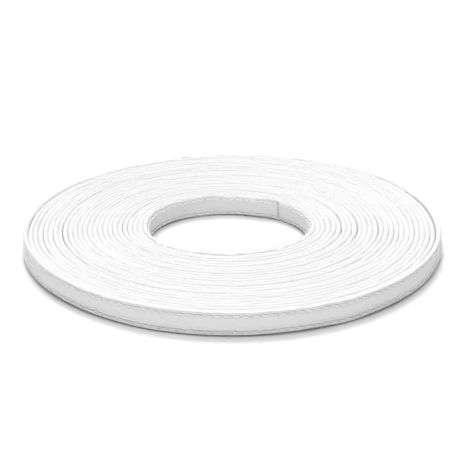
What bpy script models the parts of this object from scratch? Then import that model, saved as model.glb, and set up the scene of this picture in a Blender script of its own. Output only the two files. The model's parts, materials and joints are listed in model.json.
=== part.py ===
"""A roll of padded, stitched grip tape, wound flat on itself around an open bore.

One tape makes the whole roll. Its fabric casing is a flat sleeve round a soft filler, closed by
two rows of lock stitch. The tape is wound as a plain spiral and isn't held by a core or a tie.
Both of its ends are loose, so each end is a chain of short stretches on hinges.

Metres, +Z up. The origin is on the winding axis, in the plane that the roll rests on.

A place along the tape is counted in segments from the outer end: whole numbers are the corners
of the spiral, and the tape is straight between them. Depth is measured inward from the tape's
outer face, and height upward from its lower edge.
"""

import math
from collections import namedtuple

import bmesh
import bpy
from mathutils import Vector

# Driving dimensions
ROLL_RADIUS = 0.1012  # winding axis to the tape's outer face, at the outer end
BORE_RADIUS = 0.0372  # winding axis to the tape's inner face, at the inner end
TAPE_WIDTH = 0.0104  # also the height of the roll
CASING_WALL = 0.00042
FILLER_THICKNESS = 0.00072
THREAD_DIAMETER = 0.0003
UPPER_SEAM_FROM_TOP = 0.0019
LOWER_SEAM_FROM_BOTTOM = 0.0013

# Clearances
LAYER_GAP = 0.0003  # between the tape's layers, and between neighbouring turns
STRETCH_GAP = 0.0003  # between neighbouring stretches of a loose end
THREAD_MARGIN = 0.3  # segments left free where the next turn covers a seam

# Winding
OUTER_END_ANGLE = math.radians(105)
SEGMENTS_PER_TURN = 30
OUTER_STRETCHES = 6
INNER_STRETCHES = 3

# Sizes that follow
TAPE_THICKNESS = 2 * CASING_WALL + 2 * LAYER_GAP + FILLER_THICKNESS
TURN_PITCH = TAPE_THICKNESS + LAYER_GAP
WOUND_DEPTH = ROLL_RADIUS - BORE_RADIUS - TAPE_THICKNESS
TAPE_SEGMENTS = round(SEGMENTS_PER_TURN * WOUND_DEPTH / TURN_PITCH)
ROLL_START = OUTER_STRETCHES
ROLL_END = TAPE_SEGMENTS - INNER_STRETCHES
FILLER_DEPTH = CASING_WALL + LAYER_GAP
THREAD_REACH = LAYER_GAP + THREAD_DIAMETER
THREAD_STANDOFF = LAYER_GAP + THREAD_DIAMETER / 2
SEAM_HEIGHTS = {
    "upper": TAPE_WIDTH - UPPER_SEAM_FROM_TOP,
    "lower": LOWER_SEAM_FROM_BOTTOM,
}

THREAD_SIDES_RESOLUTION = 1
SHARP_EDGE = math.radians(30)

# A length of tape between two places, the hinge that carries it and the hinge's world position
Stretch = namedtuple("Stretch", "name start end hinge origin")


def clear_scene():
    for old in list(bpy.data.objects):
        bpy.data.objects.remove(old, do_unlink=True)


def make_collection(name):
    collection = bpy.data.collections.new(name)
    bpy.context.scene.collection.children.link(collection)
    return collection


def make_material(name, color, roughness):
    material = bpy.data.materials.new(name)
    material.use_nodes = True
    shader = material.node_tree.nodes["Principled BSDF"]
    shader.inputs["Base Color"].default_value = (*color, 1.0)
    shader.inputs["Roughness"].default_value = roughness
    shader.inputs["Metallic"].default_value = 0.0
    material.diffuse_color = (*color, 1.0)
    return material


def corner(index, depth, height):
    """A corner of the spiral: a whole number of segments from the tape's outer end."""
    turns = index / SEGMENTS_PER_TURN
    angle = OUTER_END_ANGLE - 2 * math.pi * turns
    radius = ROLL_RADIUS - TURN_PITCH * turns - depth
    return Vector((radius * math.cos(angle), radius * math.sin(angle), height))


def point(place, depth, height):
    """A point at any place along the tape, on the straight line between two corners."""
    index = min(math.floor(place), TAPE_SEGMENTS - 1)
    start = corner(index, depth, height)
    return start.lerp(corner(index + 1, depth, height), place - index)


def pulled_in(start, end):
    """A stretch's two ends, each set back by half the gap to the next stretch."""
    first_length = (corner(start + 1, 0, 0) - corner(start, 0, 0)).length
    last_length = (corner(end, 0, 0) - corner(end - 1, 0, 0)).length
    return start + STRETCH_GAP / 2 / first_length, end - STRETCH_GAP / 2 / last_length


def places_between(start, end):
    """The two ends of a stretch, and every corner of the spiral between them."""
    return [start, *range(math.floor(start) + 1, math.ceil(end)), end]


def add_piece(thing, material, stretch, collection):
    """Puts a piece of a stretch in the collection, riding on the stretch's hinge if it has one."""
    thing.data.materials.append(material)
    thing.parent = stretch.hinge
    collection.objects.link(thing)


def swept(name, places, section, capped, origin):
    """Carries a section of (depth, height) corners along the spiral, mitred at its corners.

    The spiral grows inward, so no primitive, screw or array makes this sweep.
    """
    shape = bmesh.new()
    rings = [
        [shape.verts.new(point(place, depth, height) - origin) for depth, height in section]
        for place in places
    ]
    for ring, next_ring in zip(rings, rings[1:]):
        for side in range(len(section)):
            shape.faces.new((ring[side - 1], ring[side], next_ring[side], next_ring[side - 1]))
    if capped:
        shape.faces.new(rings[0])
        shape.faces.new(rings[-1])
    bmesh.ops.recalc_face_normals(shape, faces=shape.faces)
    mesh = bpy.data.meshes.new(name)
    shape.to_mesh(mesh)
    shape.free()
    mesh.shade_smooth()
    mesh.set_sharp_from_angle(angle=SHARP_EDGE)
    return bpy.data.objects.new(name, mesh)


def box_section(depth, inset):
    """The corners of the tape's section, moved in by a depth and by an inset at the edges."""
    inner = TAPE_THICKNESS - depth
    top = TAPE_WIDTH - inset
    return [(depth, inset), (inner, inset), (inner, top), (depth, top)]


def make_casing(name, start, end, origin):
    """The fabric sleeve: an open tube that is given its wall on the inside."""
    casing = swept(name, places_between(start, end), box_section(0, 0), False, origin)
    wall = casing.modifiers.new("wall", "SOLIDIFY")
    wall.thickness = CASING_WALL
    wall.offset = -1
    wall.use_even_offset = True
    return casing


def make_filler(name, start, end, origin):
    section = box_section(FILLER_DEPTH, FILLER_DEPTH)
    return swept(name, places_between(start, end), section, True, origin)


def make_thread(name, start, end, depth, height, origin):
    """One run of sewing thread along a face of the tape."""
    path = bpy.data.curves.new(name, "CURVE")
    path.dimensions = "3D"
    path.bevel_depth = THREAD_DIAMETER / 2
    path.bevel_resolution = THREAD_SIDES_RESOLUTION
    path.use_fill_caps = True
    places = places_between(start, end)
    spline = path.splines.new("POLY")
    spline.points.add(len(places) - 1)
    for spot, place in zip(spline.points, places):
        spot.co = (*(point(place, depth, height) - origin), 1.0)
    return bpy.data.objects.new(name, path)


def make_hinge(name, place, depth, parent, collection):
    """An empty on a hinge's axis, which carries one stretch of a loose end."""
    origin = point(place, depth, 0)
    hinge = bpy.data.objects.new(name, None)
    hinge.empty_display_size = TAPE_WIDTH
    hinge.location = origin - parent.origin
    hinge.parent = parent.hinge
    collection.objects.link(hinge)
    return hinge, origin


def add_tape(stretch, collection, materials):
    """The casing and the filler of one stretch."""
    ends = (stretch.start, stretch.end, stretch.origin)
    casing = make_casing(f"{stretch.name}_casing", *ends)
    add_piece(casing, materials["casing"], stretch, collection)
    filler = make_filler(f"{stretch.name}_filler", *ends)
    add_piece(filler, materials["filler"], stretch, collection)


def add_threads(stretch, kind, start, end, depth, collection, materials):
    """The upper and the lower thread along one face of a stretch, from start to end."""
    for row, height in SEAM_HEIGHTS.items():
        name = f"{stretch.name}_{row}_{kind}"
        thread = make_thread(name, start, end, depth, height, stretch.origin)
        add_piece(thread, materials["thread"], stretch, collection)


def add_roll(collection, materials):
    """The wound part of the tape. Its threads show only on the first and the last turn."""
    start, end = pulled_in(ROLL_START, ROLL_END)
    roll = Stretch("roll", start, end, None, Vector())
    add_tape(roll, collection, materials)
    covered = SEGMENTS_PER_TURN - THREAD_MARGIN
    outside = -THREAD_STANDOFF
    add_threads(roll, "needle_thread", start, covered, outside, collection, materials)
    uncovered = TAPE_SEGMENTS - SEGMENTS_PER_TURN + THREAD_MARGIN
    inside = TAPE_THICKNESS + THREAD_STANDOFF
    add_threads(roll, "bobbin_thread", uncovered, end, inside, collection, materials)
    return roll


def add_outer_end(roll, collection, materials):
    """The loose outer end. Its hinges lie outside the tape, so it opens away from the roll."""
    parent = roll
    for number in range(1, OUTER_STRETCHES + 1):
        name = f"outer_end_{number}"
        root = OUTER_STRETCHES - number + 1
        hinge = make_hinge(f"{name}_hinge", root, -THREAD_REACH, parent, collection)
        stretch = Stretch(name, *pulled_in(root - 1, root), *hinge)
        outside = -THREAD_STANDOFF
        add_tape(stretch, collection, materials)
        add_threads(stretch, "thread", *stretch[1:3], outside, collection, materials)
        parent = stretch


def add_inner_end(roll, collection, materials):
    """The loose inner end. Its hinges lie in the bore, so it opens away from the roll."""
    parent = roll
    for number in range(1, INNER_STRETCHES + 1):
        name = f"inner_end_{number}"
        root = ROLL_END + number - 1
        reach = TAPE_THICKNESS + THREAD_REACH
        hinge = make_hinge(f"{name}_hinge", root, reach, parent, collection)
        stretch = Stretch(name, *pulled_in(root, root + 1), *hinge)
        inside = TAPE_THICKNESS + THREAD_STANDOFF
        add_tape(stretch, collection, materials)
        add_threads(stretch, "thread", *stretch[1:3], inside, collection, materials)
        parent = stretch


def main():
    clear_scene()
    collection = make_collection("grip_tape_roll")
    materials = {
        "casing": make_material("casing_fabric", (0.86, 0.86, 0.86), 0.8),
        "filler": make_material("filler_felt", (0.78, 0.78, 0.77), 0.95),
        "thread": make_material("sewing_thread", (0.9, 0.9, 0.9), 0.55),
    }
    roll = add_roll(collection, materials)
    add_outer_end(roll, collection, materials)
    add_inner_end(roll, collection, materials)


main()
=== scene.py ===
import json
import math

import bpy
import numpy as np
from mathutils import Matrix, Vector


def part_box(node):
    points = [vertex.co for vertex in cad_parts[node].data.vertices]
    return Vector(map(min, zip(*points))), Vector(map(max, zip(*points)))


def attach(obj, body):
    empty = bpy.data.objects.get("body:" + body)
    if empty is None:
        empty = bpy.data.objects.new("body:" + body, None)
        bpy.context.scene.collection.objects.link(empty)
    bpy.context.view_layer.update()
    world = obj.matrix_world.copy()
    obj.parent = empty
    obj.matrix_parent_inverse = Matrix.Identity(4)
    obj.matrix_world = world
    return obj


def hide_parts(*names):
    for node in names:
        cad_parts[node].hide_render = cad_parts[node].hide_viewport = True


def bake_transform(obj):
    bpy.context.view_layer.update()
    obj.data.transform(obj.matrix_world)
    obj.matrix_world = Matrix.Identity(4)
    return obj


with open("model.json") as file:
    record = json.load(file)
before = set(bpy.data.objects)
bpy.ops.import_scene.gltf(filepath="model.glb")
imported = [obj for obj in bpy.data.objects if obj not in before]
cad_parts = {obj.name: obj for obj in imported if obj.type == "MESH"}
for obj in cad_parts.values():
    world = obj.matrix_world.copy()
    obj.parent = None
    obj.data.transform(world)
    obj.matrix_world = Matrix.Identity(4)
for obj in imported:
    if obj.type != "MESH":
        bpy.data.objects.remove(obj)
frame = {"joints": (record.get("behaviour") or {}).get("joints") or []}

# The looks of a roll of padded, stitched grip tape.
#
# One white fabric tape makes the whole roll: a sleeve folded round a soft filler, with a fold along its
# upper edge, a hem along its lower edge and a row of lock stitch near each. It is wound clockwise,
# from a loose outer end to a loose inner end.
#
# Metres, unless a comment says otherwise. A place along the tape is counted in segments of the CAD's
# spiral, from the outer end. Where a name ends in "places" it is a numpy array of them.

MM = 0.001

# The CAD's winding, which the frame's hinges and boxes are read against
SEGMENTS_PER_TURN = 30
SEGMENT_ANGLE = 2 * math.pi / SEGMENTS_PER_TURN
TURN_PITCH = 2.46 * MM
TAPE_THICKNESS = 2.16 * MM
HINGE_STANDOFF = 0.6 * MM  # from the tape's face out to a hinge
OUTER_STRETCHES = 6
INNER_STRETCHES = 3
CASING_WALL = 0.42 * MM

# How the real winding strays from an even spiral
BORE_DRIFT = 2.0 * MM  # the bore sits this far to the left of the outer rim's centre
BORE_BACK = 1.3 * MM  # and this far behind it
BORE_FLAT = 3.2 * MM  # and its front is this much flatter
BORE_WAVER = 0.25 * MM
BORE_WAVES = ((0.6, 3, 1.0), (0.4, 5, 2.2))  # share of that, waves to a turn, phase
# Where the outer turns stand out from a circle, or below 0 are drawn in: angle, and how far
RIM_SWELLS = (
    (math.radians(-90), 2.5 * MM),
    (math.radians(-10), -1.7 * MM),
    (math.radians(52), 2.4 * MM),
    (math.radians(180), -1.5 * MM),
)
SWELL_POWER = 4  # a higher one makes them narrower
FINE_WAVER = 0.05 * MM
FACE_WAVER = 0.11 * MM
LEAST_GAP = 0.02 * MM
USUAL_GAP = 0.03 * MM
SIDE_GAP = 0.06 * MM  # extra, at the left and the right
GAP_VARIATION = 0.06 * MM
GAP_CRUMPLE = 0.10 * MM
GAP_SOFT = 2.0  # places over which a wider gap closes
LOOSE_GAP = 0.35 * MM  # extra, where the outer turn stands loose
LOOSE_GAP_FIRST = 32.5
LOOSE_GAP_LAST = 45
LOOSE_PULL = 0.45 * MM  # how far the turns inside it are pulled in there
LOOSE_PULL_FADE = 4.0  # turns over which that fades
LOOSE_CENTRE = math.radians(-10)
LOOSE_HALF = math.radians(70)
LOOSE_SOFT = math.radians(30)
INNER_END_GAP = 0.12 * MM  # extra, behind the inner end
# Deeper grooves between turns: first place, last place, extra gap
GROOVES = (
    (256, 270, 0.20 * MM),
    (485, 498, 0.20 * MM),
    (150, 158, 0.16 * MM),
    (366, 374, 0.16 * MM),
    (575, 584, 0.14 * MM),
    (620, 628, 0.12 * MM),
)

# Edges
TURN_FADE = 3  # places over which what is special to the first or the last turn fades
TOP_VARIATION = 0.42 * MM
TOP_RIPPLE = 0.16 * MM
TOP_CRUMPLE = 0.12 * MM
TOP_PUCKER = 0.04 * MM
BORE_EDGE_RIPPLE = 0.42 * MM
COARSE_EDGE_SHARE = 0.7  # of that ripple, and the rest of it is finer
FINE_EDGE_SHARE = 0.3
RIM_LIFT = 0.18 * MM  # the loose outer turn rides this much higher than the rest
FRONT_LIFT = 0.80 * MM  # and this much more towards the front
FRONT_LIFT_MIDDLE = 0.75  # the share of that at the sides, before smoothing
FRONT_LIFT_SWING = 0.85  # and how much the share changes from there to the front
HEM_SHARE = 0.5  # of that lift, for the hem below it
HEM_WAVER = 0.55 * MM
HEM_LIFT = 0.15 * MM  # extra for the outer turn's hem, except between the next two angles
HEM_DOWN_FROM = math.radians(-125)
HEM_DOWN_TO = math.radians(-46)
HEM_STEP = math.radians(2.5)
HEM_LIFT_MIDDLE = 0.6  # the usual share of it, and how much the share varies
HEM_LIFT_VARIATION = 0.4

# Noise along the tape: the spacing of its random values, and which series they are drawn from
FACE_NOISE = (16 * MM, 1)
GAP_NOISE = (22 * MM, 2)
TOP_NOISE = (70 * MM, 3)
TOP_RIPPLE_NOISE = (7 * MM, 4)
COARSE_EDGE_NOISE = (4.5 * MM, 5)
HEM_NOISE = (15 * MM, 6)
HEM_LIFT_NOISE = (30 * MM, 7)
BAND_NOISE = (11 * MM, 8)
HEM_EDGE_NOISE = (6 * MM, 9)
WANDER_NOISE = (26 * MM, 10)
FOLD_NOISE = (5 * MM, 11)
THREAD_NOISE = (3 * MM, 12)
GAP_CRUMPLE_NOISE = (6 * MM, 13)
TOP_CRUMPLE_NOISE = (2.6 * MM, 14)
CREASE_NOISE = (24 * MM, 15)
FINE_FACE_NOISE = (5 * MM, 16)
FINE_EDGE_NOISE = (1.8 * MM, 17)

# The casing's face. Heights and spreads are shares of the tape's width
SEAM_SPREAD = 0.028
BAND_CENTRE = 0.52
BAND_SPREAD = 0.16
BAND_BULGE = 0.05 * MM
HEM_EDGE_CENTRE = 0.26
HEM_EDGE_SPREAD = 0.05
HEM_EDGE_BULGE = 0.05 * MM
# The hem's raised edge wanders up and down a little
WANDER_CENTRE = 0.275
WANDER_SPREAD = 0.07
WANDER_SHARE = 0.012

# Creases along the fold. Inside and outside are shares across the tape, the rest shares of its width
FOLD_FROM = 0.96
FOLD_INSIDE = 0.1
FOLD_OUTSIDE = 0.95
FOLD_CRUMPLE = 0.010
FOLD_WAVE = 7  # radians of the crumple's wave across the tape
CREASE_DEPTH = 0.016
CREASE_SPREAD = 0.09
CREASE_OFTEN = 0.35  # a higher one makes it go on for longer

# Stitches
STITCH_LENGTH = 3.88 * MM
THREAD_RADIUS = 0.46 * MM
THREAD_UNEVEN = 0.10  # share of that radius
THREAD_PINCH = 0.4  # share of it that a needle hole takes away
THREAD_SIDES = 8
THREAD_STEP = STITCH_LENGTH / 16
OUTER_GROOVE = 0.52 * MM
INNER_GROOVE = 0.10 * MM
THREAD_PROUD = 1.0  # thread radii that its middle stands out of the seam's groove
# The same where a thread is hidden between turns, and runs straight
HIDDEN_SIDES = 4
HIDDEN_STEP = STITCH_LENGTH
HIDDEN_OUTER_GROOVE = 0.10 * MM
HIDDEN_INNER_GROOVE = 0.06 * MM
HIDDEN_PROUD = -0.9
HOLE_RADIUS = 0.56 * MM
HOLE_DEPTH = 0.50 * MM
INNER_DIMPLE = 0.4  # share of that depth on the tape's inner face
STITCH_DIVE = 0.75 * MM  # further down into the hole, for the thread
DIVE_RADIUS = 0.9 * HOLE_RADIUS
STITCH_SLANT = 0.16 * MM
DETAIL_STEP = STITCH_LENGTH / 8
UPPER_SEAM = 0.822  # share of the tape's width, from the lower edge
LOWER_SEAM = 0.125

SEED = 7

# The cut ends, where the tape is pressed flat. Flat is a share of its thickness. Overhang, reach,
# hollow, from and to are in places
INNER_OVERHANG = 0.25  # how far the fabric goes on past the CAD's end
INNER_TIP_FLAT = 0.78
INNER_TIP_REACH = 1.3
OUTER_TIP_FLAT = 0.35
OUTER_TIP_REACH = 0.9
TIP_HOLLOW = 0.1  # how deep the sleeve is open
TIP_WALL = 0.7 * CASING_WALL
STUB_INSET = 1.05 * CASING_WALL  # from the casing's face to the filler that shows in it
STUB_FROM = 0.03
STUB_TO = 0.095
STUB_RINGS = 8
STUB_ROUGH = 0.02 * MM
STUB_SEED = SEED + 40

# Loose fibres. Pairs are the least and the most, and lengths are in millimetres
FIBRE_RADIUS = 0.07 * MM
FIBRE_RINGS = 5
FIBRE_SIDES = 4
FIBRE_ROUND = 0.3  # millimetres round it, in its UV map
FIBRE_CURL = 0.55
FIBRE_TAPER = 0.7
CUT_FIBRES = 90
CUT_FIBRE_INSET = 0.08  # share of the way from the casing's face to its middle
CUT_FIBRE_ROOT = 0.1 * MM
CUT_FIBRE_SCATTER = 0.35
CUT_FIBRE_LENGTHS = (0.4, 1.3)
CUT_FIBRE_SEED = SEED + 50
FUZZ_FIBRES = 700
FUZZ_ACROSS = (0.02, 0.45)
FUZZ_UP = 0.985
FUZZ_LEAN = (0.1, 1.0)
FUZZ_RISE = 0.7
FUZZ_SCATTER = 0.4
FUZZ_LENGTHS = (0.4, 1.4)
FUZZ_SEED = SEED + 60

# Edges sharper than this are drawn sharp, in degrees
SHARP_FABRIC = 40
SHARP_THREAD = 60
SHARP_FIBRE = 80

# The camera: the view of someone sitting in front of a table
CAMERA_LENS = 124.0  # millimetres, as is the sensor
CAMERA_SENSOR = 36
CAMERA_CLIP = 0.01
CAMERA_DISTANCE = 0.7456
CAMERA_ELEVATION = math.radians(21.77)
CAMERA_TARGET = Vector((-0.00055, -0.00755, 0.0104))

# Two soft lights: strength, spread and lean in degrees. Below 0 a light comes from behind
OVERHEAD_STRENGTH = 1.75
OVERHEAD_SPREAD = 60
OVERHEAD_LEAN = 2
BEHIND_STRENGTH = 1.9
BEHIND_SPREAD = 24
BEHIND_LEAN = -31
SIDE_LEAN = -3  # of both lights

# The surround. Directions are heights or depths on a sphere of radius 1
SURROUND_HIGH = 0.2  # its strength higher up, as a share of that low down
SURROUND_HIGH_FROM = 0.6
SURROUND_FRONT = 1.15
SURROUND_BACK = 0.0
SURROUND_BACK_FROM = 0.15

FLOOR_REACH = 12
FLOOR_GREYS = (0.88, 0.90)

# Materials. Pitches are in millimetres, as the tape's UV map is
FABRIC_WHITE = 0.91
FABRIC_SHEEN = 0.35
YARN_PITCH = 0.42
THREAD_WHITE = 0.94
THREAD_TWIST = 0.8
TWIST_PITCH = 0.5
FELT_WHITE = 0.76

# The tape's section. A face's points are a share of its width and a relief from it in millimetres.
# The fold's and the lower edge's are a share across, from the inner face, and a share of the width.
# Up the outer face: hem edge, lower seam, hem, the hem's raised edge, padded band, upper seam, crease
OUTER_FACE = (
    (0.022, -0.12), (0.038, 0.10), (0.055, 0.20), (0.072, 0.12), (0.092, -0.12), (0.108, -0.32),
    (0.125, -0.46), (0.142, -0.48), (0.168, -0.42), (0.198, -0.22), (0.222, 0.08), (0.240, 0.42),
    (0.252, 0.64), (0.262, 0.70), (0.272, 0.66), (0.281, 0.46), (0.291, 0.20), (0.303, 0.05),
    (0.335, 0.02), (0.400, 0.03), (0.480, 0.03), (0.580, 0.0), (0.680, -0.02), (0.730, -0.03),
    (0.758, -0.16), (0.786, -0.42), (0.822, -0.56), (0.858, -0.42), (0.876, -0.18), (0.888, -0.02),
    (0.900, 0.02), (0.916, 0.00), (0.930, -0.12), (0.941, -0.34), (0.951, -0.40),
)
FOLD = (
    (0.93, 0.968), (0.85, 0.983), (0.74, 0.995), (0.60, 1.0), (0.45, 0.997),
    (0.30, 0.985), (0.18, 0.965), (0.08, 0.938), (0.02, 0.908),
)
INNER_FACE = (
    (0.900, -0.02), (0.870, -0.04), (0.845, -0.10), (0.822, -0.14), (0.799, -0.10), (0.760, -0.04),
    (0.600, 0.0), (0.450, 0.0), (0.300, -0.03), (0.190, -0.10), (0.150, -0.18), (0.125, -0.23),
    (0.100, -0.18), (0.060, -0.08),
)
LOWER_EDGE = ((0.05, 0.022), (0.16, 0.006), (0.5, 0.0), (0.80, 0.001), (0.92, 0.008))

# The same with fewer points, for the turns whose faces are hidden
PLAIN_OUTER_FACE = ((0.030, -0.04), (0.300, -0.02), (0.700, -0.02), (0.822, -0.10), (0.895, -0.01))
PLAIN_FOLD = (
    (0.985, 0.905), (0.93, 0.930), (0.85, 0.955), (0.75, 0.977), (0.63, 0.993), (0.50, 1.0),
    (0.37, 0.993), (0.25, 0.977), (0.15, 0.955), (0.07, 0.930), (0.015, 0.902),
)
PLAIN_INNER_FACE = ((0.885, -0.01), (0.822, -0.06), (0.500, 0.0), (0.060, -0.04))
PLAIN_LOWER_EDGE = ((0.14, 0.006), (0.86, 0.003))


def hinge_position(name):
    """Where the frame puts a joint's hinge."""
    return next(joint["pos_m"] for joint in frame["joints"] if joint["name"] == name)


PEEL_HINGE = hinge_position("outer_end_peel")
START_ANGLE = math.atan2(PEEL_HINGE[1], PEEL_HINGE[0]) + OUTER_STRETCHES * SEGMENT_ANGLE
START_RADIUS = (
    math.hypot(PEEL_HINGE[0], PEEL_HINGE[1])
    - HINGE_STANDOFF
    + TURN_PITCH * OUTER_STRETCHES / SEGMENTS_PER_TURN
)
LIFT_HINGE = hinge_position("inner_end_lift")
LIFT_RADIUS = math.hypot(LIFT_HINGE[0], LIFT_HINGE[1])
ROLL_END = round(
    (START_RADIUS - TAPE_THICKNESS - HINGE_STANDOFF - LIFT_RADIUS) / TURN_PITCH * SEGMENTS_PER_TURN
)
TAPE_SEGMENTS = ROLL_END + INNER_STRETCHES
INNER_CUT = TAPE_SEGMENTS + INNER_OVERHANG
ROLL_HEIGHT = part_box("roll_casing")[1].z


# ---------------------------------------------------------------- places along the tape


def angles_at(places):
    return START_ANGLE - places * SEGMENT_ANGLE


def even_radius(places):
    """The outer face's radius, if the winding were perfect."""
    return START_RADIUS - TURN_PITCH * places / SEGMENTS_PER_TURN


# Lengths along the tape, from a little before its start to well past its end
TABLE_FIRST = -4
TABLE_STEP = 0.1
TABLE_PLACES = np.arange(TABLE_FIRST, TAPE_SEGMENTS + 2 * SEGMENTS_PER_TURN, TABLE_STEP)
TABLE_LENGTHS = np.concatenate(
    ([0.0], np.cumsum(even_radius(TABLE_PLACES)[1:] * SEGMENT_ANGLE * TABLE_STEP))
)


def length_at(places):
    """How far along the tape these places are, in metres."""
    return np.interp(places, TABLE_PLACES, TABLE_LENGTHS)


def places_with_step(first, last, step):
    """Places from first to last, about a step of length apart."""
    lengths = length_at(np.array([first, last]))
    count = max(2, round(abs(lengths[1] - lengths[0]) / step) + 1)
    return np.interp(
        np.linspace(lengths[0], lengths[1], count), TABLE_LENGTHS, TABLE_PLACES
    )


def smooth(share):
    share = np.clip(share, 0, 1)
    return share * share * (3 - 2 * share)


def bell(values, centre, spread):
    """1 at the centre, and 1/e a spread away from it."""
    return np.exp(-(((values - centre) / spread) ** 2))


def window(values, first, last, soft):
    """1 between first and last, falling smoothly to 0 over soft on either side."""
    return smooth((values - first) / soft + 1) * smooth((last - values) / soft + 1)


def wrapped(angles):
    """Angles brought between minus and plus half a turn."""
    return (angles + math.pi) % (2 * math.pi) - math.pi


def noise(places, spacing, series):
    """Smooth random values between -1 and 1 along the tape, one drawn for each spacing of its length."""
    total = TABLE_LENGTHS[-1]
    values = np.random.default_rng(SEED * 1000 + series).uniform(-1, 1, int(total / spacing) + 3)
    at = np.clip(length_at(places), 0, total) / spacing
    lower = np.floor(at).astype(int)
    share = smooth(at - lower)
    return values[lower] * (1 - share) + values[lower + 1] * share


# ---------------------------------------------------------------- the winding's shape


def drift(places):
    """How far the outer face strays from the even spiral."""
    angles = angles_at(places)
    depth = np.clip(places / TAPE_SEGMENTS, 0, 1.05)
    off_centre = depth * (BORE_BACK * np.sin(angles) - BORE_DRIFT * np.cos(angles))
    waves = sum(share * np.sin(count * angles + phase) for share, count, phase in BORE_WAVES)
    waver = BORE_WAVER * depth * waves
    flat = -BORE_FLAT * depth * np.clip(-np.sin(angles), 0, 1) ** 2
    swell = 0
    for centre, extra in RIM_SWELLS:
        near = np.clip(np.cos(angles - centre), 0, 1) ** SWELL_POWER
        swell = swell + extra * near * np.clip(1 - depth, 0, 1) ** 2
    turns_in = places / SEGMENTS_PER_TURN - 1
    near_loose = 1 - smooth((np.abs(wrapped(angles - LOOSE_CENTRE)) - LOOSE_HALF) / LOOSE_SOFT)
    pull = np.where(turns_in >= 0, LOOSE_PULL * np.exp(-turns_in / LOOSE_PULL_FADE), 0)
    face = FACE_WAVER * noise(places, *FACE_NOISE) + FINE_WAVER * noise(places, *FINE_FACE_NOISE)
    return off_centre + flat + waver + swell - pull * near_loose + face


def gap_outside(places):
    """The gap between these places and the turn outside them."""
    gap = USUAL_GAP + GAP_VARIATION * noise(places, *GAP_NOISE)
    gap = gap + SIDE_GAP * np.cos(angles_at(places)) ** 2
    gap = gap + LOOSE_GAP * window(places, LOOSE_GAP_FIRST, LOOSE_GAP_LAST, GAP_SOFT)
    gap = gap + GAP_CRUMPLE * np.maximum(0, noise(places, *GAP_CRUMPLE_NOISE))
    for first, last, extra in GROOVES:
        gap = gap + extra * window(places, first, last, GAP_SOFT)
    gap = gap + INNER_END_GAP * window(places, ROLL_END - GAP_SOFT, TAPE_SEGMENTS + 1, GAP_SOFT)
    return np.maximum(gap, LEAST_GAP)


def outer_radius(places):
    return even_radius(places) + drift(places)


def inner_radius(places):
    """The next turn in, and the gap to it, decide where the inner face is."""
    within = places + SEGMENTS_PER_TURN
    return outer_radius(within) + gap_outside(within)


def faces_at(places):
    """Radii of the tape's outer and inner faces, with both cut ends pressed flat."""
    outside = outer_radius(places)
    inside = inner_radius(places)
    thickness = outside - inside
    inner_tip = 1 - smooth((TAPE_SEGMENTS - places) / INNER_TIP_REACH)
    outer_tip = 1 - smooth(places / OUTER_TIP_REACH)
    return (
        outside - OUTER_TIP_FLAT * outer_tip * thickness,
        inside + INNER_TIP_FLAT * inner_tip * thickness,
    )


def pucker(places):
    """1 midway through a stitch and -1 at a needle hole."""
    return -np.cos(2 * math.pi * length_at(places) / STITCH_LENGTH)


def from_hole(places):
    """Distance along the tape to the nearest needle hole."""
    along = length_at(places) / STITCH_LENGTH
    return np.abs(along - np.round(along)) * STITCH_LENGTH


def at_bore(places):
    """1 along the turn that lines the bore, rising from 0 over the few places before it."""
    return smooth((places - (TAPE_SEGMENTS - SEGMENTS_PER_TURN - TURN_FADE)) / TURN_FADE)


def at_rim(places):
    """1 along the outer turn, falling to 0 over the few places after it."""
    return 1 - smooth((places - SEGMENTS_PER_TURN) / TURN_FADE)


def rim_lift(places):
    """How much higher than the others the outer turn rides."""
    front = smooth(FRONT_LIFT_MIDDLE - FRONT_LIFT_SWING * np.sin(angles_at(places)))
    return (RIM_LIFT + FRONT_LIFT * front) * at_rim(places)


def top_height(places):
    height = ROLL_HEIGHT - TOP_VARIATION * (0.5 + 0.5 * noise(places, *TOP_NOISE))
    height = height + TOP_RIPPLE * noise(places, *TOP_RIPPLE_NOISE) + TOP_PUCKER * pucker(places)
    height = height + TOP_CRUMPLE * noise(places, *TOP_CRUMPLE_NOISE) + rim_lift(places)
    coarse = COARSE_EDGE_SHARE * noise(places, *COARSE_EDGE_NOISE)
    ragged = coarse + FINE_EDGE_SHARE * noise(places, *FINE_EDGE_NOISE)
    return height + BORE_EDGE_RIPPLE * at_bore(places) * ragged


def bottom_height(places):
    """The tape's lower edge: on the floor, or a little above it where it waves or is lifted."""
    waves = HEM_WAVER * smooth(0.5 + 0.5 * noise(places, *HEM_NOISE))
    waves = waves + HEM_SHARE * rim_lift(places)
    angles = wrapped(angles_at(places))
    down = smooth((angles - HEM_DOWN_FROM) / HEM_STEP) * smooth((HEM_DOWN_TO - angles) / HEM_STEP)
    share = HEM_LIFT_MIDDLE + HEM_LIFT_VARIATION * noise(places, *HEM_LIFT_NOISE)
    return waves + HEM_LIFT * (1 - down) * at_rim(places) * share


def ring_points(places, across, up, relief):
    """World points at shares across and up the tape, with relief out of it. All (place, point) arrays."""
    outside, inside = (face[:, None] for face in faces_at(places))
    bottom = bottom_height(places)[:, None]
    radius = inside + (outside - inside) * across + relief
    height = bottom + (top_height(places)[:, None] - bottom) * up
    angles = angles_at(places)[:, None]
    return np.stack((radius * np.cos(angles), radius * np.sin(angles), height), axis=-1)


def place_point(place, across=0.5, up=0.5):
    """One world point on or in the tape."""
    shares = np.full((1, 1), across), np.full((1, 1), up), np.zeros((1, 1))
    return Vector(ring_points(np.array([float(place)]), *shares)[0, 0])


# ---------------------------------------------------------------- meshes from rings of points


def start_shape():
    return {"points": [], "quads": [], "caps": [], "uvs": [], "cap_uvs": [], "count": 0}


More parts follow.
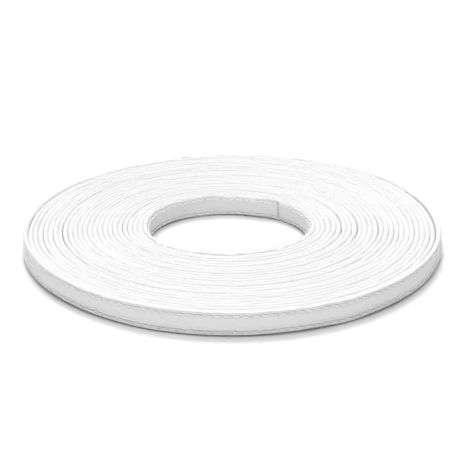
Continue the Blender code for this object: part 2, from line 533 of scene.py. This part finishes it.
def add_tube(shape, rings, along, around):
    """A closed tube through rings of points, with lengths along and around it in millimetres as its UVs."""
    steps, sides = rings.shape[:2]
    first = shape["count"]
    step, side = np.meshgrid(np.arange(steps - 1), np.arange(sides), indexing="ij")
    following = (side + 1) % sides
    quads = np.stack(
        (
            step * sides + side,
            step * sides + following,
            (step + 1) * sides + following,
            (step + 1) * sides + side,
        ),
        axis=-1,
    ).reshape(-1, 4)
    low, high = along[step], along[step + 1]
    left, right = around[side], around[side + 1]
    uvs = np.stack(
        (low, left, low, right, high, right, high, left), axis=-1
    ).reshape(-1, 4, 2)
    shape["points"].append(rings.reshape(-1, 3))
    shape["quads"].append(quads + first)
    shape["uvs"].append(uvs)
    near = list(range(first + sides - 1, first - 1, -1))
    far = list(range(first + (steps - 1) * sides, first + steps * sides))
    shape["caps"] += [near, far]
    shape["cap_uvs"] += [
        [(along[0], around[corner]) for corner in range(sides - 1, -1, -1)],
        [(along[-1], around[corner]) for corner in range(sides)],
    ]
    shape["count"] += steps * sides


def finish_shape(shape, name, material, sharp=SHARP_FABRIC):
    """Makes the piece, smooth but for its sharp edges."""
    points = np.concatenate(shape["points"])
    quads = np.concatenate(shape["quads"])
    mesh = bpy.data.meshes.new(name)
    mesh.from_pydata(points.tolist(), [], quads.tolist() + shape["caps"])
    flat = [np.concatenate(shape["uvs"]).reshape(-1, 2)]
    flat += [np.array(cap) for cap in shape["cap_uvs"]]
    layer = mesh.uv_layers.new(name="tape")
    layer.data.foreach_set("uv", np.concatenate(flat).astype(np.float32).ravel())
    mesh.polygons.foreach_set("use_smooth", [True] * len(mesh.polygons))
    mesh.set_sharp_from_angle(angle=math.radians(sharp))
    mesh.materials.append(material)
    mesh.validate()
    piece = bpy.data.objects.new(name, mesh)
    bpy.context.scene.collection.objects.link(piece)
    return piece


# ---------------------------------------------------------------- the casing


def section(detailed):
    """Shares across, shares up, and relief away from the roll's axis, for a ring round the tape."""
    outer = OUTER_FACE if detailed else PLAIN_OUTER_FACE
    fold = FOLD if detailed else PLAIN_FOLD
    inner = INNER_FACE if detailed else PLAIN_INNER_FACE
    lower = LOWER_EDGE if detailed else PLAIN_LOWER_EDGE
    across = [1.0] * len(outer) + [p[0] for p in fold] + [0.0] * len(inner) + [p[0] for p in lower]
    up = [p[0] for p in outer] + [p[1] for p in fold] + [p[0] for p in inner] + [p[1] for p in lower]
    relief = [p[1] for p in outer] + [0.0] * len(fold)
    relief += [-p[1] for p in inner] + [0.0] * len(lower)
    return np.array(across), np.array(up), np.array(relief) * MM


def near_seam(up, seam):
    return bell(up, seam, SEAM_SPREAD)


def detailed_face(places, across, up, relief):
    """Shares up and relief with the needle holes, the band's bulges and an uneven raised hem."""
    on_outer = across == 1.0
    holes = bell(from_hole(places), 0, HOLE_RADIUS)[:, None]
    dimple = HOLE_DEPTH * holes * (near_seam(up, UPPER_SEAM) + near_seam(up, LOWER_SEAM))
    sign = np.where(on_outer, -1, np.where(across == 0.0, INNER_DIMPLE, 0))
    relief = relief + sign * dimple
    band = bell(up, BAND_CENTRE, BAND_SPREAD) * on_outer
    relief = relief + band * (BAND_BULGE * noise(places, *BAND_NOISE))[:, None]
    hem = bell(up, HEM_EDGE_CENTRE, HEM_EDGE_SPREAD) * on_outer
    relief = relief + hem * (HEM_EDGE_BULGE * noise(places, *HEM_EDGE_NOISE))[:, None]
    wander = bell(up, WANDER_CENTRE, WANDER_SPREAD) * on_outer
    return up + wander * (WANDER_SHARE * noise(places, *WANDER_NOISE))[:, None], relief


def fold_creases(places, across, up):
    """What the fold's creases add to the shares up."""
    on_fold = (up > FOLD_FROM) * (across > FOLD_INSIDE) * (across < FOLD_OUTSIDE)
    crumple = FOLD_CRUMPLE * noise(places, *FOLD_NOISE)[:, None] * np.sin(across * FOLD_WAVE + 1)
    middle = bell(across, 0.5, CREASE_SPREAD)
    crease = -CREASE_DEPTH * middle * smooth(CREASE_OFTEN + noise(places, *CREASE_NOISE))[:, None]
    return on_fold * (crumple + crease)


def casing_rings(places, detailed):
    """Rings of points round the casing."""
    across, up, relief = (np.tile(values, (len(places), 1)) for values in section(detailed))
    # The raised hem stands out on the outer turn only
    relief = np.where((across == 1.0) & (relief > 0), relief * at_rim(places)[:, None], relief)
    if detailed:
        up, relief = detailed_face(places, across, up, relief)
    up = up + fold_creases(places, across, up)
    return ring_points(places, across, up, relief)


def ring_lengths(rings):
    """Millimetres round the first ring, one more value than it has points."""
    ring = rings[0]
    steps = np.linalg.norm(np.roll(ring, -1, axis=0) - ring, axis=1)
    return np.concatenate(([0.0], np.cumsum(steps))) / MM


def make_casing(name, first, last, step, detailed, material):
    places = places_with_step(first, last, step)
    rings = casing_rings(places, detailed)
    shape = start_shape()
    add_tube(shape, rings, length_at(places) / MM, ring_lengths(rings))
    return finish_shape(shape, name, material)


def shrunk_ring(place, wall):
    """The section at a place, drawn in on every side by a wall's thickness."""
    places = np.array([float(place)])
    outside, inside = faces_at(places)
    share_across = 1 - 2 * wall / (outside[0] - inside[0])
    share_up = 1 - 2 * wall / (top_height(places) - bottom_height(places))[0]
    across, up, relief = (values[None, :] for values in section(True))
    relief = np.minimum(relief, 0) * share_across
    return ring_points(places, 0.5 + (across - 0.5) * share_across, 0.5 + (up - 0.5) * share_up, relief)


def make_tip_casing(name, inward, cut, material):
    """The last of the tape, cut off square at the place cut: a sleeve, open for a little way."""
    places = places_with_step(inward, cut, DETAIL_STEP)
    hollow_end = cut + math.copysign(TIP_HOLLOW, inward - cut)
    hollow = (shrunk_ring(cut, TIP_WALL), shrunk_ring(hollow_end, TIP_WALL))
    rings = np.concatenate((casing_rings(places, True), *hollow))
    along = np.concatenate((length_at(places), length_at(np.array([cut, hollow_end])))) / MM
    around = ring_lengths(rings)
    if inward > cut:
        rings = rings[::-1]
        along = along[::-1]
    shape = start_shape()
    add_tube(shape, rings, along, around)
    return finish_shape(shape, name, material)


def make_tip_filler(name, inward, cut, material):
    """What shows of the filler inside the cut end."""
    toward = math.copysign(1, inward - cut)
    near = cut + STUB_FROM * toward
    far = cut + STUB_TO * toward
    places = np.linspace(min(near, far), max(near, far), STUB_RINGS)
    rings = np.concatenate([shrunk_ring(place, STUB_INSET) for place in places])
    rough = np.random.default_rng(STUB_SEED).normal(0, STUB_ROUGH, rings.shape)
    shape = start_shape()
    add_tube(shape, rings + rough, length_at(places) / MM, ring_lengths(rings))
    return finish_shape(shape, name, material)


# ---------------------------------------------------------------- loose fibres


def add_fibre(shape, start, heading, length, rng):
    """One thin curved fibre from start."""
    heading = heading / np.linalg.norm(heading)
    curl = rng.normal(0, FIBRE_CURL, 3)
    share = np.linspace(0, 1, FIBRE_RINGS)[:, None]
    path = start + length * (heading * share + curl * share**2 * 0.5)
    side = np.cross(heading, rng.normal(0, 1, 3))
    side = side / np.linalg.norm(side)
    up = np.cross(heading, side)
    turn = np.linspace(0, 2 * math.pi, FIBRE_SIDES, endpoint=False)
    ring = FIBRE_RADIUS * (np.cos(turn)[:, None] * side + np.sin(turn)[:, None] * up)
    width = (1 - FIBRE_TAPER * share)[:, :, None]
    rings = path[:, None, :] + ring[None, :, :] * width
    along = np.linspace(0, length / MM, FIBRE_RINGS)
    add_tube(shape, rings, along, np.linspace(0, FIBRE_ROUND, FIBRE_SIDES + 1))


def make_cut_fibres(name, cut, heading_sign, material):
    """Yarn ends standing out of a cut end. heading_sign is 1 away from place 0 and -1 towards it."""
    rng = np.random.default_rng(CUT_FIBRE_SEED + heading_sign)
    shape = start_shape()
    ring = casing_rings(np.array([float(cut)]), True)[0]
    centre = ring.mean(axis=0)
    angle = float(angles_at(cut))
    away = heading_sign * np.array([math.sin(angle), -math.cos(angle), 0.0])
    for index in rng.integers(0, len(ring), CUT_FIBRES):
        start = ring[index] + (centre - ring[index]) * CUT_FIBRE_INSET - away * CUT_FIBRE_ROOT
        heading = away + rng.normal(0, CUT_FIBRE_SCATTER, 3)
        add_fibre(shape, start, heading, rng.uniform(*CUT_FIBRE_LENGTHS) * MM, rng)
    return finish_shape(shape, name, material, sharp=SHARP_FIBRE)


def make_edge_fuzz(name, first, last, material):
    """Short fibres along the fold that lines the bore's upper edge."""
    rng = np.random.default_rng(FUZZ_SEED)
    shape = start_shape()
    rise = np.array([0, 0, FUZZ_RISE])
    for place in rng.uniform(first, last, FUZZ_FIBRES):
        start = np.array(place_point(place, across=rng.uniform(*FUZZ_ACROSS), up=FUZZ_UP))
        angle = float(angles_at(place))
        inward = -np.array([math.cos(angle), math.sin(angle), 0.0])
        heading = inward * rng.uniform(*FUZZ_LEAN) + rise + rng.normal(0, FUZZ_SCATTER, 3)
        add_fibre(shape, start, heading, rng.uniform(*FUZZ_LENGTHS) * MM, rng)
    return finish_shape(shape, name, material, sharp=SHARP_FIBRE)


# ---------------------------------------------------------------- the stitches


def strand_rings(places, seam, outside, sides, dives):
    """Rings round one thread along a seam. One that dives goes over each stitch and into each hole."""
    if dives:
        holes = bell(from_hole(places), 0, DIVE_RADIUS)
        along = length_at(places) / STITCH_LENGTH
        slant = STITCH_SLANT * 2 * (along - np.floor(along) - 0.5)
        groove = OUTER_GROOVE if outside else INNER_GROOVE
        proud = THREAD_PROUD
    else:
        holes = 0 * places
        slant = 0
        groove = HIDDEN_OUTER_GROOVE if outside else HIDDEN_INNER_GROOVE
        proud = HIDDEN_PROUD
    sunk = groove + HOLE_DEPTH * holes - proud * THREAD_RADIUS
    sunk = sunk + STITCH_DIVE * holes
    uneven = 1 + THREAD_UNEVEN * noise(places, *THREAD_NOISE)
    size = THREAD_RADIUS * uneven * (1 - THREAD_PINCH * holes)
    turn = np.linspace(0, 2 * math.pi, sides, endpoint=False)
    outer_face, inner_face = faces_at(places)
    face = outer_face - sunk if outside else inner_face + sunk
    bottom = bottom_height(places)
    level = bottom + (top_height(places) - bottom) * seam + slant
    radius = face[:, None] + size[:, None] * np.cos(turn)
    height = level[:, None] + size[:, None] * np.sin(turn)
    angles = angles_at(places)[:, None]
    return np.stack((radius * np.cos(angles), radius * np.sin(angles), height), axis=-1)


def make_stitches(name, first, last, outside_detail, inside_detail, material):
    """The two needle rows and two bobbin rows between two places."""
    shape = start_shape()
    for outside, detailed in ((True, outside_detail), (False, inside_detail)):
        sides, step = (THREAD_SIDES, THREAD_STEP) if detailed else (HIDDEN_SIDES, HIDDEN_STEP)
        places = places_with_step(first, last, step)
        for seam in (UPPER_SEAM, LOWER_SEAM):
            rings = strand_rings(places, seam, outside, sides, detailed)
            around = np.linspace(0, 2 * math.pi * THREAD_RADIUS / MM, sides + 1)
            add_tube(shape, rings, length_at(places) / MM, around)
    return finish_shape(shape, name, material, sharp=SHARP_THREAD)


# ---------------------------------------------------------------- materials


class Nodes:
    """A short way to add shader nodes to one material."""

    def __init__(self, name):
        self.material = bpy.data.materials.new(name)
        self.material.use_nodes = True
        self.tree = self.material.node_tree
        self.shader = self.tree.nodes["Principled BSDF"]

    def add(self, kind, **settings):
        node = self.tree.nodes.new(kind)
        for key, value in settings.items():
            setattr(node, key, value)
        return node

    def put(self, value, socket):
        if isinstance(value, (int, float)):
            socket.default_value = value
        else:
            self.tree.links.new(value, socket)

    def math(self, operation, first, second=0.0):
        node = self.add("ShaderNodeMath", operation=operation)
        self.put(first, node.inputs[0])
        self.put(second, node.inputs[1])
        return node.outputs[0]

    def tape_map(self):
        """Millimetres along and round the piece."""
        split = self.add("ShaderNodeSeparateXYZ")
        uv = self.add("ShaderNodeUVMap", uv_map="tape")
        self.tree.links.new(uv.outputs[0], split.inputs[0])
        return split.outputs[0], split.outputs[1]

    def noise(self, along, around, scale_along, scale_around, detail=2.0):
        joined = self.add("ShaderNodeCombineXYZ")
        self.put(self.math("MULTIPLY", along, scale_along), joined.inputs[0])
        self.put(self.math("MULTIPLY", around, scale_around), joined.inputs[1])
        texture = self.add("ShaderNodeTexNoise")
        texture.inputs["Scale"].default_value = 1.0
        texture.inputs["Detail"].default_value = detail
        self.tree.links.new(joined.outputs[0], texture.inputs["Vector"])
        return texture.outputs[0]

    def ramp(self, value, low, high):
        """value from 0 to 1, turned into one from low to high."""
        node = self.add("ShaderNodeMapRange")
        self.put(value, node.inputs["Value"])
        node.inputs["To Min"].default_value = low
        node.inputs["To Max"].default_value = high
        return node.outputs[0]

    def bump(self, height, distance, strength, before=None):
        node = self.add("ShaderNodeBump")
        node.inputs["Distance"].default_value = distance
        node.inputs["Strength"].default_value = strength
        self.put(height, node.inputs["Height"])
        if before is not None:
            self.tree.links.new(before, node.inputs["Normal"])
        return node.outputs[0]

    def grey(self, value):
        joined = self.add("ShaderNodeCombineColor")
        for socket in joined.inputs[:3]:
            self.put(value, socket)
        self.tree.links.new(joined.outputs[0], self.shader.inputs["Base Color"])


def wave(nodes, value, period):
    """A sine from 0 to 1."""
    swing = nodes.math("SINE", nodes.math("MULTIPLY", value, 2 * math.pi / period))
    return nodes.math("ADD", nodes.math("MULTIPLY", swing, 0.5), 0.5)


def woven_fabric():
    """Plain-woven white cotton: yarns over and under, slubs along the tape, faint soft mottling."""
    nodes = Nodes("woven_fabric")
    along, around = nodes.tape_map()
    warp = wave(nodes, along, YARN_PITCH)
    weft = wave(nodes, around, YARN_PITCH)
    over = nodes.math("ABSOLUTE", nodes.math("SUBTRACT", warp, weft))
    slubs = nodes.noise(along, around, scale_along=0.35, scale_around=2.4)
    rumple = nodes.noise(along, around, scale_along=0.45, scale_around=0.7, detail=3.0)
    mottle = nodes.noise(along, around, scale_along=0.12, scale_around=0.3, detail=3.0)
    slub_shade = nodes.ramp(slubs, low=0.95, high=1.05)
    shade = nodes.math("MULTIPLY", slub_shade, nodes.ramp(mottle, low=0.96, high=1.04))
    shade = nodes.math("MULTIPLY", shade, nodes.ramp(over, low=1.02, high=0.97))
    nodes.grey(nodes.math("MULTIPLY", shade, FABRIC_WHITE))
    normal = nodes.bump(rumple, distance=0.25 * MM, strength=0.35)
    normal = nodes.bump(slubs, distance=0.08 * MM, strength=0.4, before=normal)
    normal = nodes.bump(over, distance=0.05 * MM, strength=0.35, before=normal)
    nodes.tree.links.new(normal, nodes.shader.inputs["Normal"])
    nodes.put(nodes.ramp(slubs, low=0.82, high=0.95), nodes.shader.inputs["Roughness"])
    nodes.shader.inputs["Sheen Weight"].default_value = FABRIC_SHEEN
    nodes.shader.inputs["Sheen Roughness"].default_value = 0.5
    nodes.shader.inputs["Specular IOR Level"].default_value = 0.25
    return nodes.material


def sewing_thread():
    """White spun thread, brighter and smoother than the fabric, with its twist."""
    nodes = Nodes("sewing_thread")
    along, around = nodes.tape_map()
    slanting = nodes.math("ADD", along, nodes.math("MULTIPLY", around, THREAD_TWIST))
    twist = wave(nodes, slanting, TWIST_PITCH)
    hairs = nodes.noise(along, around, scale_along=2.5, scale_around=6.0)
    twist_shade = nodes.ramp(twist, low=0.93, high=1.02)
    shade = nodes.math("MULTIPLY", twist_shade, nodes.ramp(hairs, low=0.97, high=1.03))
    nodes.grey(nodes.math("MULTIPLY", shade, THREAD_WHITE))
    normal = nodes.bump(twist, distance=0.05 * MM, strength=0.6)
    normal = nodes.bump(hairs, distance=0.03 * MM, strength=0.4, before=normal)
    nodes.tree.links.new(normal, nodes.shader.inputs["Normal"])
    nodes.put(nodes.ramp(hairs, low=0.5, high=0.65), nodes.shader.inputs["Roughness"])
    nodes.shader.inputs["Sheen Weight"].default_value = 0.1
    return nodes.material


def felt():
    """Off-white needled felt."""
    nodes = Nodes("filler_felt")
    along, around = nodes.tape_map()
    tufts = nodes.noise(along, around, scale_along=3.0, scale_around=3.0, detail=4.0)
    nodes.grey(nodes.math("MULTIPLY", nodes.ramp(tufts, low=0.85, high=1.1), FELT_WHITE))
    normal = nodes.bump(tufts, distance=0.1 * MM, strength=0.8)
    nodes.tree.links.new(normal, nodes.shader.inputs["Normal"])
    nodes.put(nodes.ramp(tufts, low=0.9, high=1.0), nodes.shader.inputs["Roughness"])
    nodes.shader.inputs["Sheen Weight"].default_value = 0.2
    return nodes.material


def matte_floor():
    """A plain pale table top, with the faintest unevenness."""
    material = bpy.data.materials.new("matte_floor")
    material.use_nodes = True
    tree = material.node_tree
    texture = tree.nodes.new("ShaderNodeTexNoise")
    texture.inputs["Scale"].default_value = 9.0
    spread = tree.nodes.new("ShaderNodeMapRange")
    spread.inputs["To Min"].default_value = FLOOR_GREYS[0]
    spread.inputs["To Max"].default_value = FLOOR_GREYS[1]
    tree.links.new(texture.outputs[0], spread.inputs["Value"])
    shader = tree.nodes["Principled BSDF"]
    tree.links.new(spread.outputs[0], shader.inputs["Base Color"])
    shader.inputs["Roughness"].default_value = 0.9
    shader.inputs["Specular IOR Level"].default_value = 0.0
    return material


# ---------------------------------------------------------------- the roll and its ends


def name_piece(piece, slot, *nodes):
    """Hides the CAD parts that a piece stands in for."""
    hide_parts(*nodes)


def name_fibres(node):
    """The same for loose fibres, which have the casing's material and no padding."""
    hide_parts(node)


# The places where the roll's parts and the pieces round the hinges meet, none of them on a hinge
BEND_REACH = 0.5  # from a hinge to either end of the piece round it
FIRST_JOIN = OUTER_STRETCHES + BEND_REACH
OUTER_TURN_END = FIRST_JOIN + SEGMENTS_PER_TURN
MIDDLE_JOIN = 320.5
LAST_JOIN = ROLL_END - BEND_REACH
BORE_TURN_START = LAST_JOIN - SEGMENTS_PER_TURN - 2
ROLL_JOINS = (FIRST_JOIN, OUTER_TURN_END, MIDDLE_JOIN, BORE_TURN_START, LAST_JOIN)
PLAIN_STEP = 2.0 * MM
# The roll's parts: name, step along the tape, detailed
ROLL_PARTS = (
    ("roll_outer_turn", DETAIL_STEP, True),
    ("roll_middle_turns", PLAIN_STEP, False),
    ("roll_inner_turns", PLAIN_STEP, False),
    ("roll_bore_turn", DETAIL_STEP, True),
)
ROLL_THREADS = [
    f"roll_{level}_{kind}_thread" for level in ("upper", "lower") for kind in ("needle", "bobbin")
]


def add_roll(fabric, thread):
    """The wound part. Only its outer turn and the turn in the bore show their threads."""
    for (name, step, detailed), first, last in zip(ROLL_PARTS, ROLL_JOINS, ROLL_JOINS[1:]):
        casing = make_casing(name + "_casing", first, last, step, detailed, fabric)
        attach(casing, "roll")
        name_piece(casing, "casing", "roll_casing", "roll_filler")
        at_outside = name == "roll_outer_turn"
        at_bore_side = name == "roll_bore_turn"
        stitches = make_stitches(name + "_stitches", first, last, at_outside, at_bore_side, thread)
        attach(stitches, "roll")
        name_piece(stitches, "thread", *ROLL_THREADS)


def end_nodes(body):
    """The names of a loose stretch's casing and filler, and of its two threads."""
    return (f"{body}_casing", f"{body}_filler"), (f"{body}_upper_thread", f"{body}_lower_thread")


def add_end(prefix, count, root, direction, fabric, thread):
    """A loose end but for its tip: a piece round each hinge. direction is -1 towards place 0."""
    for number in range(1, count + 1):
        child = f"{prefix}_{number}"
        hinge = root + direction * (number - 1)
        start = hinge - direction * BEND_REACH
        end = hinge + direction * BEND_REACH
        low, high = min(start, end), max(start, end)
        casing = make_casing(child + "_bend_casing", low, high, DETAIL_STEP, True, fabric)
        stitches = make_stitches(child + "_bend_stitches", low, high, True, True, thread)
        casing_nodes, thread_nodes = end_nodes(child)
        for piece in (casing, stitches):
            place_point(start)
            place_point(end)
            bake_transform(piece)
        name_piece(casing, "casing", *casing_nodes)
        name_piece(stitches, "thread", *thread_nodes)


def add_tip(prefix, body, inward, cut, materials):
    """The last of a loose end, from the place inward to the place cut."""
    fabric, thread, filler = materials
    casing = make_tip_casing(prefix + "_casing", inward, cut, fabric)
    low, high = min(inward, cut), max(inward, cut)
    stitches = make_stitches(prefix + "_stitches", low, high, True, True, thread)
    stub = make_tip_filler(prefix + "_filler", inward, cut, filler)
    away = 1 if cut > inward else -1
    fibres = make_cut_fibres(prefix + "_fibres", cut, away, fabric)
    for piece in (casing, stitches, stub, fibres):
        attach(piece, body)
    casing_nodes, thread_nodes = end_nodes(body)
    name_piece(casing, "casing", casing_nodes[0])
    name_piece(stub, "filler", casing_nodes[1])
    name_piece(stitches, "thread", *thread_nodes)
    name_fibres(casing_nodes[0])


# ---------------------------------------------------------------- the studio


def add_camera():
    data = bpy.data.cameras.new("camera")
    data.lens = CAMERA_LENS
    data.sensor_width = CAMERA_SENSOR
    data.clip_start = CAMERA_CLIP
    camera = bpy.data.objects.new("camera", data)
    back = Vector((0, -math.cos(CAMERA_ELEVATION), math.sin(CAMERA_ELEVATION)))
    camera.location = CAMERA_TARGET + back * CAMERA_DISTANCE
    camera.rotation_euler = (-back).to_track_quat("-Z", "Y").to_euler()
    bpy.context.scene.collection.objects.link(camera)
    bpy.context.scene.camera = camera


def add_floor():
    mesh = bpy.data.meshes.new("floor")
    corners = [(x * FLOOR_REACH, y * FLOOR_REACH, 0) for x, y in ((-1, -1), (1, -1), (1, 1), (-1, 1))]
    mesh.from_pydata(corners, [], [(0, 1, 2, 3)])
    mesh.materials.append(matte_floor())
    floor = bpy.data.objects.new("floor", mesh)
    bpy.context.scene.collection.objects.link(floor)


def add_light(name, strength, spread, lean):
    """A soft light from far away."""
    data = bpy.data.lights.new(name, "SUN")
    data.energy = strength
    data.angle = math.radians(spread)
    light = bpy.data.objects.new(name, data)
    light.rotation_euler = (math.radians(lean), math.radians(SIDE_LEAN), 0)
    bpy.context.scene.collection.objects.link(light)


def smooth_map(tree, value, before, after):
    """A value between the two before, turned smoothly into one between the two after."""
    node = tree.nodes.new("ShaderNodeMapRange")
    node.interpolation_type = "SMOOTHSTEP"
    for name, limit in zip(("From Min", "From Max", "To Min", "To Max"), (*before, *after)):
        node.inputs[name].default_value = limit
    tree.links.new(value, node.inputs["Value"])
    return node.outputs[0]


def add_surround():
    """A white surround, brighter low down and in front."""
    world = bpy.data.worlds.new("surround")
    world.use_nodes = True
    tree = world.node_tree
    coordinates = tree.nodes.new("ShaderNodeTexCoord")
    split = tree.nodes.new("ShaderNodeSeparateXYZ")
    tree.links.new(coordinates.outputs["Generated"], split.inputs[0])
    low = smooth_map(tree, split.outputs["Z"], (SURROUND_HIGH_FROM, 0.0), (SURROUND_HIGH, 1.0))
    front_to_back = (SURROUND_FRONT, SURROUND_BACK)
    front = smooth_map(tree, split.outputs["Y"], (-1.0, SURROUND_BACK_FROM), front_to_back)
    strength = tree.nodes.new("ShaderNodeMath")
    strength.operation = "MULTIPLY"
    tree.links.new(low, strength.inputs[0])
    tree.links.new(front, strength.inputs[1])
    background = tree.nodes["Background"]
    background.inputs["Color"].default_value = (1, 1, 1, 1)
    tree.links.new(strength.outputs[0], background.inputs["Strength"])
    bpy.context.scene.world = world
    bpy.context.scene.view_settings.view_transform = "Standard"


def main():
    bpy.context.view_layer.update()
    add_camera()
    add_floor()
    add_light("overhead", OVERHEAD_STRENGTH, OVERHEAD_SPREAD, OVERHEAD_LEAN)
    add_light("behind", BEHIND_STRENGTH, BEHIND_SPREAD, BEHIND_LEAN)
    add_surround()
    fabric = woven_fabric()
    thread = sewing_thread()
    materials = (fabric, thread, felt())
    add_roll(fabric, thread)
    add_end("outer_end", OUTER_STRETCHES, OUTER_STRETCHES, -1, fabric, thread)
    add_tip("outer_end_tip", f"outer_end_{OUTER_STRETCHES}", BEND_REACH, 0.0, materials)
    add_end("inner_end", INNER_STRETCHES, ROLL_END, 1, fabric, thread)
    last_bend_end = TAPE_SEGMENTS - BEND_REACH
    add_tip("inner_end_tip", f"inner_end_{INNER_STRETCHES}", last_bend_end, INNER_CUT, materials)
    fuzz = make_edge_fuzz("bore_edge_fuzz", TAPE_SEGMENTS - SEGMENTS_PER_TURN, LAST_JOIN, fabric)
    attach(fuzz, "roll")
    name_fibres("roll_casing")


main()
